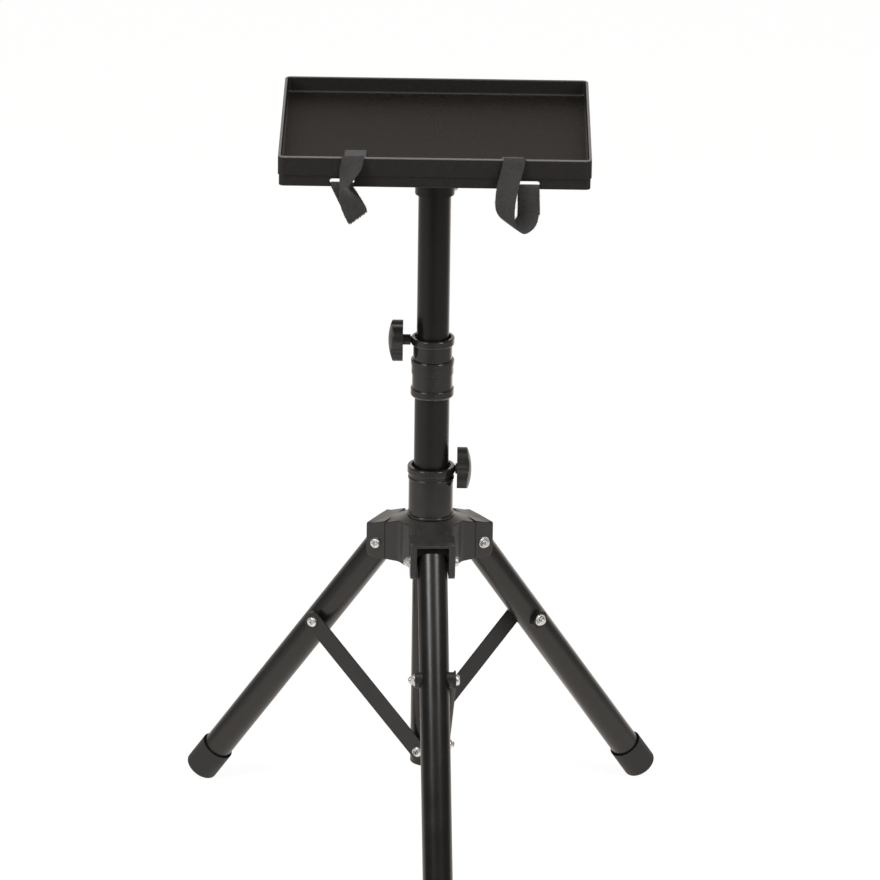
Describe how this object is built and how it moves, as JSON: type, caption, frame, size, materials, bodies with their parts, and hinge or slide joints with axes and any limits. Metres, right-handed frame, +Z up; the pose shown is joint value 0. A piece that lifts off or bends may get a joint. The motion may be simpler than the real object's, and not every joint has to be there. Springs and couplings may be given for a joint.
{
  "type": "portable projector stand",
  "caption": "Portable projector stand: black lipped tray with hook-and-loop straps on a telescoping column over a folding tripod with clamp knobs and braces.",
  "frame": {"origin": "on the floor, on the column's axis", "axes": "+Z up along the column, -Y towards the front of the tray, +X to the right seen from the front"},
  "size_m": [0.5658, 0.5092, 0.8818],
  "materials": {
    "black_paint": "black powder coat, satin",
    "black_plastic": "black moulded plastic, satin",
    "tray_plastic": "black moulded plastic, fine pebbled grain",
    "cap_rubber": "black rubber, matte",
    "zinc_steel": "bright zinc plate",
    "webbing": "black hook-and-loop webbing"
  },
  "bodies": {
    "hub": {"leg_hub": "black_plastic", "hub_collar": "black_plastic", "leg_bolt_front": "zinc_steel", "leg_bolt_right": "zinc_steel", "leg_bolt_left": "zinc_steel", "leg_nut_front": "zinc_steel", "leg_nut_right": "zinc_steel", "leg_nut_left": "zinc_steel"},
    "column": {"main_tube": "black_paint", "tube_plug": "black_plastic", "brace_seats": "black_plastic", "upper_collar": "black_plastic"},
    "mast": {"upper_tube": "black_paint"},
    "tray": {"tray_pan": "tray_plastic", "tray_socket": "black_paint", "socket_screw": "zinc_steel", "strap_left": "webbing", "strap_right": "webbing"},
    "upper_clamp": {"upper_knob": "black_plastic", "upper_knob_screw": "zinc_steel"},
    "lower_clamp": {"lower_knob": "black_plastic", "lower_knob_screw": "zinc_steel"},
    "leg_front": {"leg_tube_front": "black_paint", "foot_cap_front": "cap_rubber", "brace_saddles_front": "black_plastic", "brace_bolt_front": "zinc_steel", "brace_nut_front": "zinc_steel"},
    "brace_front": {"brace_bar_front": "black_paint", "brace_foot_bolt_front": "zinc_steel"},
    "leg_right": {"leg_tube_right": "black_paint", "foot_cap_right": "cap_rubber", "brace_saddles_right": "black_plastic", "brace_bolt_right": "zinc_steel", "brace_nut_right": "zinc_steel"},
    "brace_right": {"brace_bar_right": "black_paint", "brace_foot_bolt_right": "zinc_steel"},
    "leg_left": {"leg_tube_left": "black_paint", "foot_cap_left": "cap_rubber", "brace_saddles_left": "black_plastic", "brace_bolt_left": "zinc_steel", "brace_nut_left": "zinc_steel"},
    "brace_left": {"brace_bar_left": "black_paint", "brace_foot_bolt_left": "zinc_steel"}
  },
  "joints": [
    {"name": "column_slide", "type": "slide", "parent": "hub", "child": "column", "axis": [0, 0, -1], "range_m": [0, 0.07881]},
    {"name": "mast_slide", "type": "slide", "parent": "column", "child": "mast", "axis": [0, 0, -1], "range_m": [-0.15, 0.17]},
    {"name": "tray_swivel", "type": "hinge", "parent": "mast", "child": "tray", "pos_m": [0, 0, 0.84481], "axis": [0, 0, 1], "continuous": true},
    {"name": "upper_knob_turn", "type": "hinge", "parent": "column", "child": "upper_clamp", "pos_m": [-0.0254, 0, 0.60931], "axis": [-1, 0, 0], "range_deg": [0, 360]},
    {"name": "lower_knob_turn", "type": "hinge", "parent": "hub", "child": "lower_clamp", "pos_m": [0.0279, 0, 0.45031], "axis": [1, 0, 0], "range_deg": [0, 360]},
    {"name": "leg_front_fold", "type": "hinge", "parent": "hub", "child": "leg_front", "pos_m": [0.00306, -0.05842, 0.35481], "axis": [0.9986, 0.0523, 0], "range_deg": [0, 36]},
    {"name": "leg_right_fold", "type": "hinge", "parent": "hub", "child": "leg_right", "pos_m": [0.04906, 0.03186, 0.35481], "axis": [-0.5446, 0.8387, 0], "range_deg": [0, 36]},
    {"name": "leg_left_fold", "type": "hinge", "parent": "hub", "child": "leg_left", "pos_m": [-0.05212, 0.02656, 0.35481], "axis": [-0.454, -0.891, 0], "range_deg": [0, 36]},
    {"name": "brace_front_swing", "type": "hinge", "parent": "leg_front", "child": "brace_front", "pos_m": [0.00746, -0.14236, 0.23912], "axis": [-0.9986, -0.0523, 0], "range_deg": [0, 64.79]},
    {"name": "brace_right_swing", "type": "hinge", "parent": "leg_right", "child": "brace_right", "pos_m": [0.11955, 0.07764, 0.23912], "axis": [0.5446, -0.8387, 0], "range_deg": [0, 64.79]},
    {"name": "brace_left_swing", "type": "hinge", "parent": "leg_left", "child": "brace_left", "pos_m": [-0.12702, 0.06472, 0.23912], "axis": [0.454, 0.891, 0], "range_deg": [0, 64.79]}
  ],
  "couplings": [
    {"joint": "leg_front_fold", "follows": "column_slide", "rad_per_m": 7.9723},
    {"joint": "leg_right_fold", "follows": "column_slide", "rad_per_m": 7.9723},
    {"joint": "leg_left_fold", "follows": "column_slide", "rad_per_m": 7.9723},
    {"joint": "brace_front_swing", "follows": "column_slide", "rad_per_m": 14.336},
    {"joint": "brace_right_swing", "follows": "column_slide", "rad_per_m": 14.336},
    {"joint": "brace_left_swing", "follows": "column_slide", "rad_per_m": 14.336}
  ]
}
